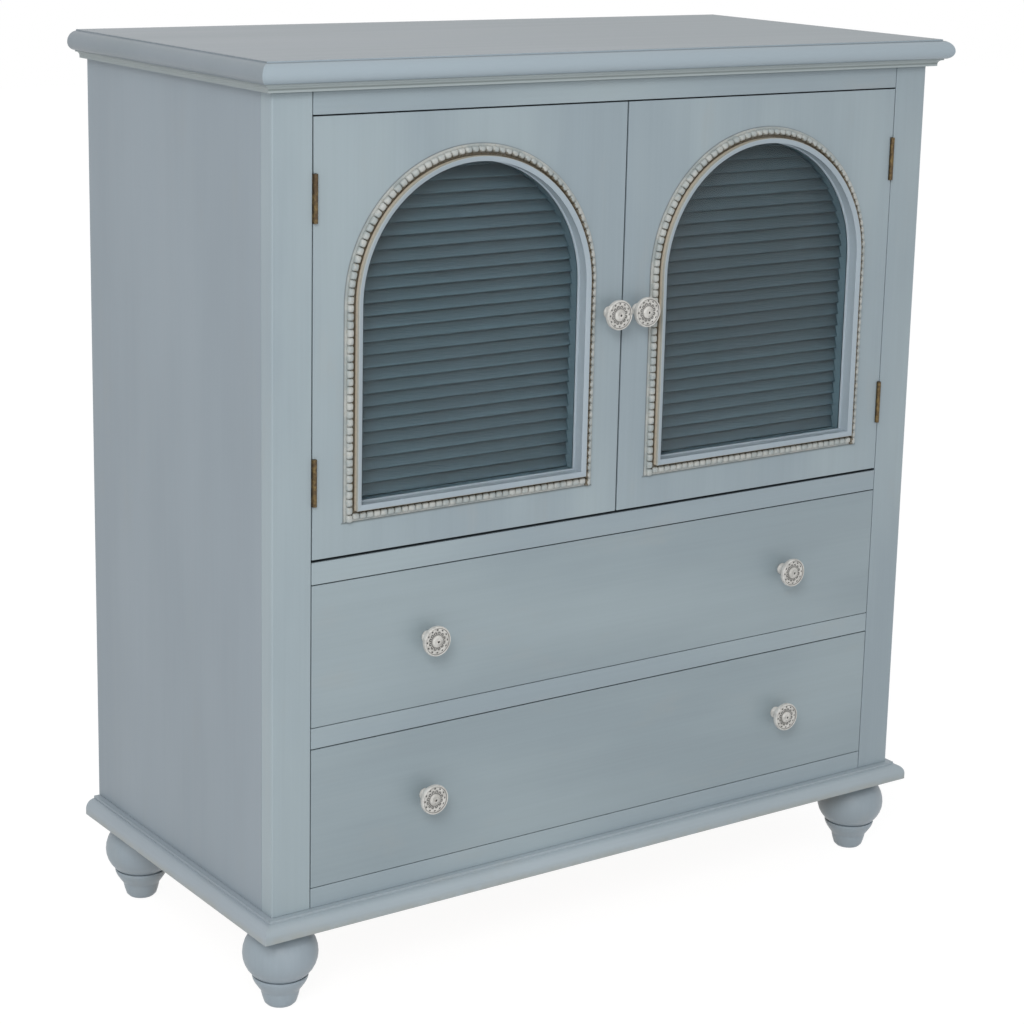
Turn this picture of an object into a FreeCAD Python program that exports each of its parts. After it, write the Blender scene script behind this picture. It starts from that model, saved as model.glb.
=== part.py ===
import FreeCAD, Part
import math
import os

# Painted cupboard with two arched glass doors over two drawers, on four turned feet.
# Millimetres, +Z up, the front faces -Y. The origin is on the floor, under the
# middle of the whole outline. Depths named below are measured back from the front face.

V = FreeCAD.Vector

# Carcass
carcass_width = 868.5
carcass_depth = 410.0
side_thickness = 18.0
back_thickness = 6.0
back_rebate = 10.0
groove_depth = 6.0
board_thickness = 10.0
floor_thickness = 16.0

# Heights of the front, from the floor upwards
foot_height = 94.1
base_height = 20.9
bottom_rail_height = 22.0
drawer_opening_height = 155.0
drawer_rail_height = 22.5
door_rail_height = 23.5
door_opening_height = 456.0
top_rail_height = 32.5

# Face frame
stile_width = 45.5
frame_thickness = 22.0
corner_round = 1.6
tenon_length = 15.0
tenon_thickness = 8.0
tenon_shoulder = 4.0
shoulder_gap = 0.9

# Top board and its bullnose edge
top_thickness = 22.3
top_overhang = 23.2
bullnose_low_radius = 9.0
quirk_inset = 10.7
quirk_step = 1.4

# Cove strip under the top board
cove_height = 8.5
cove_overhang = 14.2
cove_fillet_height = 1.6
cove_fillet_step = 0.6
cove_radius = 4.6

# Base moulding
base_overhang = 17.1
base_inner_width = 16.0
base_ledge = 6.6
base_quirk_drop = 3.0
base_quirk_width = 0.8
base_face_height = 7.0

# Turned feet and the corner blocks that hold them
foot_side_inset = 11.6
back_foot_side_inset = 14.1
foot_front_inset = 14.8
foot_back_inset = 30.5
ball_radius = 40.5
ball_half_height = 37.0
ball_low_half_height = 34.3
ball_chords = 12
spigot_radius = 8.0
spigot_end_gap = 2.0
spigot_clearance = 0.1
block_side = 70.0

# Shelf
shelf_thickness = 16.0
shelf_height = 230.0
shelf_setback = 45.0
shelf_gap = 0.5
shelf_pin_radius = 2.5
shelf_pin_hold = 8.0
shelf_pin_reach = 10.0
shelf_pin_inset = 50.0

# Doors
door_thickness = 20.0
door_gap = 1.5
door_foot_gap = 3.0
hinge_gap = 1.3
meeting_gap = 2.1
arch_side = 54.5
arch_head = 55.0
arch_foot = 56.6

# Moulding round the glass
moulding_width = 6.5
moulding_proud = 9.4
crown_outer_round = 0.6
crown_width = 5.7
crown_inner_drop = 2.0
reveal_hollow = 0.4
moulding_lip = 0.8
moulding_lip_height = 2.6
glass_setback = 7.9
opening_margin = 4.6
fit_clearance = 0.2

# Beaded strip round the moulding
strip_gap = 0.3
strip_thickness = 1.3
strip_inner_lip = 2.7
strip_outer_lip = 0.9
bead_diameter = 7.9
bead_centre_proud = 3.0
bead_bar_sides = 4

# Glass and slatted screen
glass_thickness = 3.0
screen_wall = 3.6
screen_flange = 9.5
screen_back_margin = 0.5
slat_setback = 19.5
slat_pitch = 13.5
slat_start_drop = 13.3
slat_lap = 1.5
slat_lean = 5.5
slat_thickness = 4.5
slat_nose = 0.6

# Butt hinges
hinge_length = 49.5
hinge_foot_distance = 59.5
hinge_head_distance = 57.5
knuckle_radius = 2.5
knuckle_count = 5
knuckle_gap = 0.2
pin_proud = 1.5
pin_inset = 1.55
pin_radius = 1.05
pin_clearance = 0.05
leaf_thickness = 0.5
leaf_depth = 17.0
leaf_start = 1.0
knuckle_relief = 0.3

# Catches
catch_width = 30.0
catch_height = 12.0
catch_depth = 15.0
strike_thickness = 1.0
strike_margin = 2.0
catch_gap = 0.3
catch_from_middle = 12.0

# Knobs and their nuts
knob_radius = 16.5
knob_projection = 24.6
knob_stud_radius = 2.0
knob_nut_flats = 7.0
knob_nut_thickness = 3.2
knob_stud_end = 1.0
drawer_knob_spacing = 494.7

# Drawers and what they run on
drawer_gap = 1.1
drawer_foot_gap = 0.7
drawer_front_thickness = 20.0
drawer_side_thickness = 12.0
drawer_side_height = 120.0
drawer_rebate = 8.0
drawer_bottom_thickness = 5.0
drawer_bottom_rise = 10.0
drawer_groove = 6.0
drawer_back_drop = 10.0
running_clearance = 0.3
runner_reach = 16.0
guide_height = 30.0
stop_length = 15.7
stop_height = 12.0

# One overrun for every cut that has to pass a face
overrun = 5.0

# Foot outline as shares of the ball's radius and the foot's height, from the sole up
toe_shares = [(0.26, 0.0), (0.365, 0.013), (0.43, 0.042), (0.48, 0.11), (0.505, 0.155)]
collar_low_shares = [(0.52, 0.188), (0.6, 0.234), (0.677, 0.283), (0.708, 0.307)]
collar_top_shares = [(0.73, 0.331), (0.744, 0.353), (0.738, 0.366), (0.715, 0.37)]
ball_centre_share = 0.633
ball_low_share = 0.36

# Knob outline as shares of projection and radius, from the seat to the rim
knob_neck_shares = [(0.0, 0.38), (0.05, 0.41), (0.11, 0.39), (0.17, 0.33), (0.34, 0.31), (0.48, 0.42)]
knob_head_shares = [(0.62, 0.90), (0.69, 0.985), (0.76, 1.0), (0.87, 0.975), (0.91, 0.92)]
knob_dish_shares = [(0.86, 0.82), (0.84, 0.40), (0.94, 0.30)]

# Worked out from the sizes above
overall_depth = carcass_depth + top_overhang
front_y = top_overhang - overall_depth / 2
back_y = front_y + carcass_depth
half = carcass_width / 2
inner_half = half - side_thickness
open_half = half - stile_width
carcass_z = foot_height + base_height
lower_opening_z = carcass_z + bottom_rail_height
drawer_rail_z = lower_opening_z + drawer_opening_height
upper_opening_z = drawer_rail_z + drawer_rail_height
door_rail_z = upper_opening_z + drawer_opening_height
door_opening_z = door_rail_z + door_rail_height
top_rail_z = door_opening_z + door_opening_height
top_z = top_rail_z + top_rail_height
board_back_y = back_y - back_thickness
frame_back_y = front_y + frame_thickness
door_back_y = front_y + door_thickness
door_edge = open_half - hinge_gap
door_middle = (door_edge + meeting_gap / 2) / 2
sight_half = door_edge - door_middle - arch_side
sill_z = door_opening_z + arch_foot
spring_z = top_rail_z - arch_head - sight_half
opening_half = sight_half + opening_margin
strip_inner = sight_half + moulding_width + strip_gap
bead_line = strip_inner + strip_inner_lip + bead_diameter / 2
strip_outer = bead_line + bead_diameter / 2 + strip_outer_lip
pin_x = door_edge - pin_inset
pin_y = front_y - pin_proud
drawer_half = open_half - drawer_gap
drawer_back_y = board_back_y - stop_length - running_clearance
shelf_z = door_opening_z + shelf_height


# Basic shapes

def box(low, high):
    """A box between two corners."""
    size = high - low
    return Part.makeBox(size.x, size.y, size.z, low)


def rod(radius, start, direction, length):
    """A round bar."""
    return Part.makeCylinder(radius, length, start, direction)


def face_of(outline, place):
    """A flat face. Items are points, or pairs of points that are the middle and end of an arc."""
    edges = []
    here = outline[0]
    for item in outline[1:] + [outline[0]]:
        if isinstance(item[0], tuple):
            middle, there = item
            edges.append(Part.Arc(place(*here), place(*middle), place(*there)).toShape())
        else:
            there = item
            edges.append(Part.makeLine(place(*here), place(*there)))
        here = there
    return Part.Face(Part.Wire(edges))


def on_arc(centre, radius, degrees):
    """The point of a circle at an angle from its first axis."""
    angle = math.radians(degrees)
    return centre[0] + radius * math.cos(angle), centre[1] + radius * math.sin(angle)


def bowed(start, end, bow):
    """Middle and end of an arc whose middle stands off to the left of the straight line."""
    along = end[0] - start[0]
    across = end[1] - start[1]
    length = math.hypot(along, across)
    middle = ((start[0] + end[0]) / 2 - across / length * bow, (start[1] + end[1]) / 2 + along / length * bow)
    return middle, end


def fuse_all(shapes):
    """Join shapes that belong to one piece of wood."""
    return shapes[0].multiFuse(shapes[1:]).removeSplitter()


def mirror_x(shape):
    """The same piece on the other side of the middle."""
    return shape.mirror(V(0, 0, 0), V(1, 0, 0))


# Moulded edges of the top, the cove strip and the base

def round_over(outer, low, inset, rise):
    """Middle and end of an arc that starts upright at (outer, low) and leans in."""
    radius = (inset * inset + rise * rise) / (2 * inset)
    centre = (outer - radius, low)
    end_angle = math.degrees(math.asin(rise / radius))
    return on_arc(centre, radius, end_angle / 2), (outer - inset, low + rise)


def moulded_slab(edge, low_z, thickness):
    """A slab with one edge outline on its front and both sides, mitred at the front corners.

    The edge is listed from the underside up, as distance out from the carcass and height."""
    outer = half + top_overhang + overrun
    front = [step_in(item, front_y, -1, low_z) for item in edge]
    front_face = face_of(
        [(back_y, low_z)] + front + [(back_y, low_z + thickness)],
        lambda y, z: V(-outer, y, z),
    )
    across = front_face.extrude(V(2 * outer, 0, 0))
    right = [step_in(item, half, 1, low_z) for item in edge]
    right_face = face_of(
        [(0, low_z)] + right + [(0, low_z + thickness)],
        lambda x, z: V(x, front_y - top_overhang - overrun, z),
    )
    along = right_face.extrude(V(0, overall_depth + 2 * overrun, 0))
    return across.common(along.fuse(mirror_x(along)).removeSplitter()).removeSplitter()


def step_in(item, origin, sign, low_z):
    """Shift one item of an edge outline to its place on the carcass."""
    if isinstance(item[0], tuple):
        return tuple(step_in(point, origin, sign, low_z) for point in item)
    return origin + sign * item[0], low_z + item[1]


def mitre_wedge(side, inward, low_z, high_z):
    """The part of the plan that one length of a mitred moulding takes."""
    outward = top_overhang + overrun
    near = front_y - outward
    far = front_y + inward
    wide = half + outward
    narrow = half - inward
    if side == "front":
        plan = [(-wide, near), (wide, near), (narrow, far), (-narrow, far)]
    elif side == "left":
        plan = [(-wide, near), (-narrow, far), (-narrow, back_y + overrun), (-wide, back_y + overrun)]
    else:
        plan = [(wide, near), (narrow, far), (narrow, back_y + overrun), (wide, back_y + overrun)]
    return face_of(plan, lambda x, y: V(x, y, low_z)).extrude(V(0, 0, high_z - low_z))


def mitred_lengths(edge, low_z, thickness, inner_width):
    """Front, left and right lengths of a moulding that runs round the carcass."""
    core = box(
        V(-half + inner_width, front_y + inner_width, low_z - overrun),
        V(half - inner_width, back_y + overrun, low_z + thickness + overrun),
    )
    ring = moulded_slab(edge, low_z, thickness).cut(core)
    return {
        side: ring.common(mitre_wedge(side, inner_width + overrun, low_z, low_z + thickness))
        for side in ("front", "left", "right")
    }


def top_edge():
    """Bullnose with a quirk above it."""
    round_height = top_thickness - quirk_step
    low_centre = (top_overhang - bullnose_low_radius, bullnose_low_radius)
    return [
        (low_centre[0], 0),
        (on_arc(low_centre, bullnose_low_radius, -45), (top_overhang, bullnose_low_radius)),
        round_over(top_overhang, bullnose_low_radius, quirk_inset, round_height - bullnose_low_radius),
        (top_overhang - quirk_inset, top_thickness),
    ]


def cove_edge():
    """Flat foot, hollow cove and a small fillet."""
    hollow_edge = cove_overhang - cove_fillet_step
    foot = hollow_edge - cove_radius
    foot_height_here = cove_height - cove_fillet_height - cove_radius
    fillet_z = cove_height - cove_fillet_height
    return [
        (foot, 0),
        (foot, foot_height_here),
        (on_arc((hollow_edge, foot_height_here), cove_radius, 135), (hollow_edge, fillet_z)),
        (cove_overhang, fillet_z),
        (cove_overhang, cove_height),
    ]


def base_edge():
    """Upright face, ovolo, quirk and ledge."""
    ovolo_top = base_height - base_quirk_drop
    ovolo_inset = base_overhang - base_ledge - base_quirk_width
    return [
        (base_overhang, 0),
        (base_overhang, base_face_height),
        round_over(base_overhang, base_face_height, ovolo_inset, ovolo_top - base_face_height),
        (base_ledge, ovolo_top),
        (base_ledge, base_height),
    ]


def top_board():
    return moulded_slab(top_edge(), top_z, top_thickness)


def top_cove_moulding():
    """Three mitred lengths under the overhang of the top."""
    lengths = mitred_lengths(cove_edge(), top_z - cove_height, cove_height, 0)
    return list(lengths.values())


def base_mouldings():
    return mitred_lengths(base_edge(), foot_height, base_height, base_inner_width)


def base_back_rail():
    """Closes the base frame behind, between the side mouldings."""
    narrow = half - base_inner_width
    return box(V(-narrow, back_y - base_inner_width, foot_height), V(narrow, back_y, carcass_z))


# Feet

def foot_places():
    """Centres of the four feet, by name."""
    x = half - base_inner_width - foot_side_inset
    back_x = half - base_inner_width - back_foot_side_inset
    near = front_y + base_inner_width + foot_front_inset
    far = back_y - base_inner_width - foot_back_inset
    return {
        "front_left_foot": V(-x, near, 0),
        "front_right_foot": V(x, near, 0),
        "back_left_foot": V(-back_x, far, 0),
        "back_right_foot": V(back_x, far, 0),
    }


def turned_foot(place):
    """Tapered toe, collar, groove, slightly flat ball and the spigot on top, turned in one piece.

    The ball is a little flatter below its middle. Short straight chords follow it."""
    def point(share):
        return share[0] * ball_radius, share[1] * foot_height

    ball_z = ball_centre_share * foot_height
    start = -math.asin((ball_z - ball_low_share * foot_height) / ball_low_half_height)
    step = (math.asin((foot_height - ball_z) / ball_half_height) - start) / ball_chords
    spigot_top = carcass_z - spigot_end_gap
    outline = [(0, 0)]
    outline += [point(share) for share in toe_shares + collar_low_shares + collar_top_shares]
    for chord in range(ball_chords + 1):
        turn = start + chord * step
        reach = ball_low_half_height if turn < 0 else ball_half_height
        outline.append((ball_radius * math.cos(turn), ball_z + reach * math.sin(turn)))
    outline += [
        (spigot_radius, foot_height),
        (spigot_radius, spigot_top),
        (0, spigot_top),
    ]
    return face_of(outline, lambda r, z: V(place.x + r, place.y, z)).revolve(place, V(0, 0, 1), 360)


def foot_block(place):
    """Corner block inside the base frame, bored for the spigot of its foot."""
    inner_x = half - base_inner_width
    low_x = -inner_x if place.x < 0 else inner_x - block_side
    low_y = front_y + base_inner_width if place.y < 0 else back_y - base_inner_width - block_side
    low = V(low_x, low_y, foot_height)
    block = box(low, low + V(block_side, block_side, base_height))
    start = V(place.x, place.y, foot_height - overrun)
    return block.cut(rod(spigot_radius + spigot_clearance, start, V(0, 0, 1), base_height + 2 * overrun))


# Carcass

def groove_levels():
    """Height and thickness of each board that is let into the sides."""
    return {
        "bottom_board": (carcass_z, board_thickness),
        "divider_board": (drawer_rail_z, board_thickness),
        "cupboard_floor": (door_opening_z - floor_thickness, floor_thickness),
    }


def shelf_pin_places():
    """Pin centres on the inner face of the right side."""
    z = shelf_z - shelf_pin_radius
    near = front_y + shelf_setback + shelf_pin_inset
    far = board_back_y - shelf_pin_inset
    return [V(inner_half, near, z), V(inner_half, far, z)]


def side_panel():
    """Right side, grooved for the boards, rebated for the back, bored for shelf pins."""
    panel = box(V(inner_half, frame_back_y, carcass_z), V(half, back_y, top_z))
    rebate = box(V(inner_half - overrun, board_back_y, carcass_z - overrun),
                 V(inner_half + back_rebate, back_y + overrun, top_z + overrun))
    cuts = [rebate]
    for level, thickness in groove_levels().values():
        cuts.append(box(V(inner_half - overrun, frame_back_y - overrun, level),
                        V(inner_half + groove_depth, board_back_y, level + thickness)))
    for place in shelf_pin_places():
        cuts.append(rod(shelf_pin_radius, place - V(overrun, 0, 0), V(1, 0, 0), shelf_pin_hold + overrun))
    return panel.cut(Part.makeCompound(cuts))


def carcass_board(name):
    """A board housed in both sides."""
    level, thickness = groove_levels()[name]
    wide = inner_half + groove_depth
    return box(V(-wide, frame_back_y, level), V(wide, board_back_y, level + thickness))


def back_panel():
    wide = inner_half + back_rebate
    return box(V(-wide, board_back_y, carcass_z), V(wide, back_y, top_z))


def rails():
    """Lower edge and height of each rail."""
    return {
        "bottom_rail": (carcass_z, bottom_rail_height),
        "drawer_rail": (drawer_rail_z, drawer_rail_height),
        "door_rail": (door_rail_z, door_rail_height),
        "top_rail": (top_rail_z, top_rail_height),
    }


def tenon_pair(level, height, length):
    """The tongues at both ends of a rail, as one bar through it."""
    middle = front_y + frame_thickness / 2
    wide = open_half + length
    return box(V(-wide, middle - tenon_thickness / 2, level + tenon_shoulder),
               V(wide, middle + tenon_thickness / 2, level + height - tenon_shoulder))


def rail(name):
    level, height = rails()[name]
    wide = open_half - shoulder_gap
    body = box(V(-wide, front_y, level), V(wide, frame_back_y, level + height))
    return fuse_all([body, tenon_pair(level, height, tenon_length)])


def stile():
    """Right stile, with its outer corner eased, mortised for the rails and relieved at the hinges."""
    corner = (half - corner_round, front_y + corner_round)
    plan = [
        (open_half, front_y),
        (corner[0], front_y),
        (on_arc(corner, corner_round, -45), (half, corner[1])),
        (half, frame_back_y),
        (open_half, frame_back_y),
    ]
    post = face_of(plan, lambda x, y: V(x, y, carcass_z)).extrude(V(0, 0, top_z - carcass_z))
    cuts = [tenon_pair(level, height, tenon_length) for level, height in rails().values()]
    cuts += [knuckle_space(low) for low in hinge_lows()]
    return post.cut(Part.makeCompound(cuts))


def shelf():
    wide = inner_half - shelf_gap
    return box(V(-wide, front_y + shelf_setback, shelf_z),
               V(wide, board_back_y - shelf_gap, shelf_z + shelf_thickness))


def shelf_pins():
    length = shelf_pin_hold + shelf_pin_reach
    right = [rod(shelf_pin_radius, place - V(shelf_pin_reach, 0, 0), V(1, 0, 0), length)
             for place in shelf_pin_places()]
    return right + [mirror_x(pin) for pin in right]


# Drawer runners

def drawer_levels():
    """Bottom edge of each drawer opening, and the board under its runners."""
    return {
        "lower": (lower_opening_z, carcass_z + board_thickness),
        "upper": (upper_opening_z, drawer_rail_z + board_thickness),
    }


def both_sides(pieces):
    return pieces + [mirror_x(piece) for piece in pieces]


def drawer_runner(opening_z, board_top):
    """Right runner: a ledge level with the rail, a guide beside the drawer and a stop behind it."""
    edge = open_half - runner_reach
    ledge = box(V(edge, frame_back_y, board_top), V(inner_half, board_back_y, opening_z))
    guide = box(V(open_half, frame_back_y, opening_z), V(inner_half, board_back_y, opening_z + guide_height))
    stop_y = board_back_y - stop_length
    stop = box(V(edge, stop_y, opening_z), V(open_half, board_back_y, opening_z + stop_height))
    return fuse_all([ledge, guide, stop])


def drawer_runners():
    return both_sides([drawer_runner(*level) for level in drawer_levels().values()])


# Drawers

def drawer_front(opening_z):
    """Inset front, rebated for the sides, grooved for the bottom and bored for the knobs."""
    low = opening_z + drawer_foot_gap
    high = opening_z + drawer_opening_height - drawer_gap
    back = front_y + drawer_front_thickness
    front = box(V(-drawer_half, front_y, low), V(drawer_half, back, high))
    rebate = box(V(drawer_half - drawer_side_thickness, back - drawer_rebate, low - overrun),
                 V(drawer_half + overrun, back + overrun, drawer_side_low(opening_z) + drawer_side_height))
    cuts = [rebate, mirror_x(rebate), drawer_bottom(opening_z)]
    cuts += [knob_bore(place, drawer_front_thickness) for place in drawer_knob_places(opening_z)]
    return front.cut(Part.makeCompound(cuts))


def drawer_side_low(opening_z):
    return opening_z + running_clearance


def drawer_bottom_z(opening_z):
    return drawer_side_low(opening_z) + drawer_bottom_rise


def drawer_side(opening_z):
    """Right side, grooved for the bottom."""
    low = drawer_side_low(opening_z)
    board = box(V(drawer_half - drawer_side_thickness, front_y + drawer_front_thickness - drawer_rebate, low),
                V(drawer_half, drawer_back_y, low + drawer_side_height))
    return board.cut(drawer_bottom(opening_z))


def drawer_bottom(opening_z):
    """Thin board in the grooves of the front and sides, which runs out under the back."""
    wide = drawer_half - drawer_side_thickness + drawer_groove
    low = drawer_bottom_z(opening_z)
    return box(V(-wide, front_y + drawer_front_thickness - drawer_groove, low),
               V(wide, drawer_back_y, low + drawer_bottom_thickness))


def drawer_back(opening_z):
    wide = drawer_half - drawer_side_thickness
    low = drawer_bottom_z(opening_z) + drawer_bottom_thickness
    high = drawer_side_low(opening_z) + drawer_side_height - drawer_back_drop
    return box(V(-wide, drawer_back_y - drawer_side_thickness, low), V(wide, drawer_back_y, high))


def drawer_knob_places(opening_z):
    z = opening_z + drawer_opening_height / 2
    return [V(-drawer_knob_spacing / 2, front_y, z), V(drawer_knob_spacing / 2, front_y, z)]


# Knobs

def knob(place, wall):
    """A turned knob with its stud and the nut that holds it behind the board."""
    def point(share):
        return share[0] * knob_projection, share[1] * knob_radius
    stud_reach = wall + knob_nut_thickness + knob_stud_end
    outline = [(-stud_reach, 0), (-stud_reach, knob_stud_radius), (0, knob_stud_radius)]
    outline += [point(share) for share in knob_neck_shares + knob_head_shares + knob_dish_shares]
    outline.append((knob_projection, 0))
    face = face_of(outline, lambda out, r: V(place.x, place.y - out, place.z + r))
    return face.revolve(place, V(0, 1, 0), 360).fuse(knob_nut(V(place.x, place.y + wall, place.z)))


def knob_nut(place):
    """Hexagon nut, tight on the stud."""
    corner = knob_nut_flats / 2 / math.cos(math.radians(30))
    corners = [on_arc((place.x, place.z), corner, 60 * turn) for turn in range(6)]
    return face_of(corners, lambda x, z: V(x, place.y, z)).extrude(V(0, knob_nut_thickness, 0))


def knob_bore(place, wall):
    return rod(knob_stud_radius, place - V(0, overrun, 0), V(0, 1, 0), wall + 2 * overrun)


# Arched shapes of the right door

def arch_block(width, near_y, far_y):
    """A solid with the outline of the arch, its half width given, between two depths."""
    low = sill_z - (width - sight_half)
    outline = [
        (door_middle - width, low),
        (door_middle + width, low),
        (door_middle + width, spring_z),
        ((door_middle, spring_z + width), (door_middle - width, spring_z)),
    ]
    return face_of(outline, lambda x, z: V(x, near_y, z)).extrude(V(0, far_y - near_y, 0))


def arch_sweep(section):
    """Run a section round the arch, with mitred corners at the sill.

    The section is listed as half width from the middle of the arch and depth behind the front face."""
    widths = [point[0] for item in section for point in (item if isinstance(item[0], tuple) else [item])]
    outward = max(widths) - sight_half + overrun
    inward = sight_half - min(widths) + overrun
    wide = sight_half + outward
    narrow = sight_half - inward
    upright = face_of(section, lambda w, d: V(door_middle + w, front_y + d, spring_z))
    arc = upright.revolve(V(door_middle, front_y, spring_z), V(0, -1, 0), 180)
    leg = upright.extrude(V(0, 0, sill_z - outward - spring_z))
    sill = face_of(section, lambda w, d: V(door_middle - wide, front_y + d, sill_z - (w - sight_half)))
    sill_bar = sill.extrude(V(2 * wide, 0, 0))
    wedge_outline = [
        (door_middle - wide, sill_z - outward),
        (door_middle + wide, sill_z - outward),
        (door_middle + narrow, sill_z + inward),
        (door_middle - narrow, sill_z + inward),
    ]
    wedge_face = face_of(wedge_outline, lambda x, z: V(x, front_y - wide, z))
    wedge = wedge_face.extrude(V(0, 2 * wide, 0))
    right_leg = leg.cut(wedge)
    left_leg = right_leg.mirror(V(door_middle, 0, 0), V(1, 0, 0))
    return fuse_all([arc, right_leg, left_leg, sill_bar.common(wedge)])


def arch_moulding():
    """Rounded crown outside, hollow reveal inside, and a lip that stops the glass."""
    outer = sight_half + moulding_width
    round_centre = (outer - crown_outer_round, crown_outer_round - moulding_proud)
    crown = (round_centre[0], -moulding_proud)
    shoulder = (outer - crown_width, crown_inner_drop - moulding_proud)
    lip = (sight_half + moulding_lip, glass_setback - moulding_lip_height)
    tongue = opening_half - fit_clearance
    return arch_sweep([
        (tongue, glass_setback),
        (tongue, 0),
        (outer, 0),
        (outer, round_centre[1]),
        (on_arc(round_centre, crown_outer_round, -45), crown),
        shoulder,
        bowed(shoulder, lip, -reveal_hollow),
        (sight_half, lip[1]),
        (sight_half, glass_setback),
    ])


def bead_strip():
    """Flat strip round the moulding with a rounded bar, as high as the beads carved from it."""
    centre = (bead_line, -bead_centre_proud)
    turn = 180 / bead_bar_sides
    bar = [on_arc(centre, bead_diameter / 2, -turn * side) for side in range(bead_bar_sides + 1)]
    foot = [(bar[0][0], -strip_thickness), (bar[-1][0], -strip_thickness)]
    flat = [(strip_inner, -strip_thickness), (strip_inner, 0)]
    flat += [(strip_outer, 0), (strip_outer, -strip_thickness)]
    return arch_sweep(flat + foot[:1] + bar + foot[1:])


def glass_pane():
    width = opening_half - fit_clearance
    near = front_y + glass_setback
    return arch_block(width, near, near + glass_thickness)


def screen_frame():
    """Frame behind the glass that holds the slats, with a flange on the back of the door."""
    outer = opening_half - fit_clearance
    inner = outer - screen_wall
    near = glass_setback + glass_thickness
    far = slat_setback + slat_lean + slat_thickness + screen_back_margin
    return arch_sweep([
        (inner, near),
        (outer, near),
        (outer, door_thickness),
        (opening_half + screen_flange, door_thickness),
        (opening_half + screen_flange, far),
        (inner, far),
    ])


def screen_slats():
    """Overlapping slats, each leaning forward to a proud lower edge, trimmed to the arch."""
    width = opening_half - fit_clearance - screen_wall
    near = front_y + slat_setback
    room = arch_block(width, near - overrun, near + slat_lean + slat_thickness + overrun)
    slat_height = slat_pitch + slat_lap
    start = sill_z - slat_start_drop
    count = math.ceil((spring_z + width - start) / slat_pitch)
    slats = []
    for row in range(count):
        low = start + row * slat_pitch
        section = [
            (near + slat_nose, low),
            (near + slat_thickness, low),
            (near + slat_lean + slat_thickness, low + slat_height),
            (near + slat_lean, low + slat_height),
            (near, low + slat_nose),
        ]
        face = face_of(section, lambda y, z: V(door_middle - width, y, z))
        slat = face.extrude(V(2 * width, 0, 0)).common(room)
        slats += slat.Solids
    return slats


def door_panel():
    """Right door board with its arched opening, relieved for the hinge knuckles."""
    board = box(
        V(meeting_gap / 2, front_y, door_opening_z + door_foot_gap),
        V(door_edge, door_back_y, top_rail_z - door_gap),
    )
    cuts = [arch_block(opening_half, front_y - overrun, door_back_y + overrun)]
    cuts += [knuckle_space(low) for low in hinge_lows()]
    cuts.append(knob_bore(door_knob_place(), door_thickness))
    return board.cut(Part.makeCompound(cuts))


def door_knob_place():
    """Middle of the board between the meeting edge and the strip, half way up the opening."""
    free_edge = door_middle - strip_outer
    return V((meeting_gap / 2 + free_edge) / 2, front_y, door_opening_z + door_opening_height / 2)


# Hinges and catches of the right door

def hinge_lows():
    """Lower ends of the two hinges."""
    return [
        door_opening_z + hinge_foot_distance,
        top_rail_z - hinge_head_distance - hinge_length,
    ]


def knuckle_space(low):
    """Room cut for the knuckles in the stile and the door."""
    return rod(knuckle_radius + knuckle_relief, V(pin_x, pin_y, low - knuckle_relief), V(0, 0, 1),
               hinge_length + 2 * knuckle_relief)


def hinge_leaf(low, owner):
    """One leaf with its own knuckles. The frame leaf has the odd ones, the door leaf the rest."""
    step = hinge_length / knuckle_count
    on_frame = owner == "frame"
    leaf_x = open_half - leaf_thickness if on_frame else door_edge
    leaf_end_x = leaf_x + leaf_thickness
    leaf_far = front_y + leaf_depth
    pieces = [box(V(leaf_x, front_y + leaf_start, low), V(leaf_end_x, leaf_far, low + hinge_length))]
    for index in range(0 if on_frame else 1, knuckle_count, 2):
        base = low + index * step + knuckle_gap / 2
        length = step - knuckle_gap
        pieces.append(rod(knuckle_radius, V(pin_x, pin_y, base), V(0, 0, 1), length))
        pieces.append(box(V(leaf_x, pin_y, base), V(leaf_end_x, leaf_far, base + length)))
    if on_frame:
        return fuse_all(pieces + [rod(pin_radius, V(pin_x, pin_y, low), V(0, 0, 1), hinge_length)])
    bore_radius = pin_radius + pin_clearance
    bore = rod(bore_radius, V(pin_x, pin_y, low - overrun), V(0, 0, 1), hinge_length + 2 * overrun)
    return fuse_all(pieces).cut(bore)


def strike_plate():
    """Steel plate on the back of the door, in front of its catch."""
    low = door_opening_z + door_foot_gap + strike_margin
    high = door_opening_z + catch_height
    return box(V(catch_from_middle, door_back_y, low),
               V(catch_from_middle + catch_width, door_back_y + strike_thickness, high))


def door_catch():
    """Magnetic catch on the cupboard floor."""
    near = door_back_y + strike_thickness + catch_gap
    return box(V(catch_from_middle, near, door_opening_z),
               V(catch_from_middle + catch_width, near + catch_depth, door_opening_z + catch_height))


# The whole object

def door_nodes():
    """Everything that swings with the right door, without its side in the names."""
    return {
        "door_panel": [door_panel()],
        "arch_moulding": [arch_moulding()],
        "bead_strip": [bead_strip()],
        "door_glass": [glass_pane()],
        "screen_frame": [screen_frame()],
        "screen_slats": screen_slats(),
        "door_knob": [knob(door_knob_place(), door_thickness)],
        "hinge_door_leaves": [hinge_leaf(low, "door") for low in hinge_lows()],
        "strike_plate": [strike_plate()],
    }


def drawer_nodes(opening_z):
    """One drawer, without its level in the names."""
    side = drawer_side(opening_z)
    return {
        "drawer_front": [drawer_front(opening_z)],
        "drawer_left_side": [mirror_x(side)],
        "drawer_right_side": [side],
        "drawer_back": [drawer_back(opening_z)],
        "drawer_bottom": [drawer_bottom(opening_z)],
        "drawer_knobs": [knob(place, drawer_front_thickness) for place in drawer_knob_places(opening_z)],
    }


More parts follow.
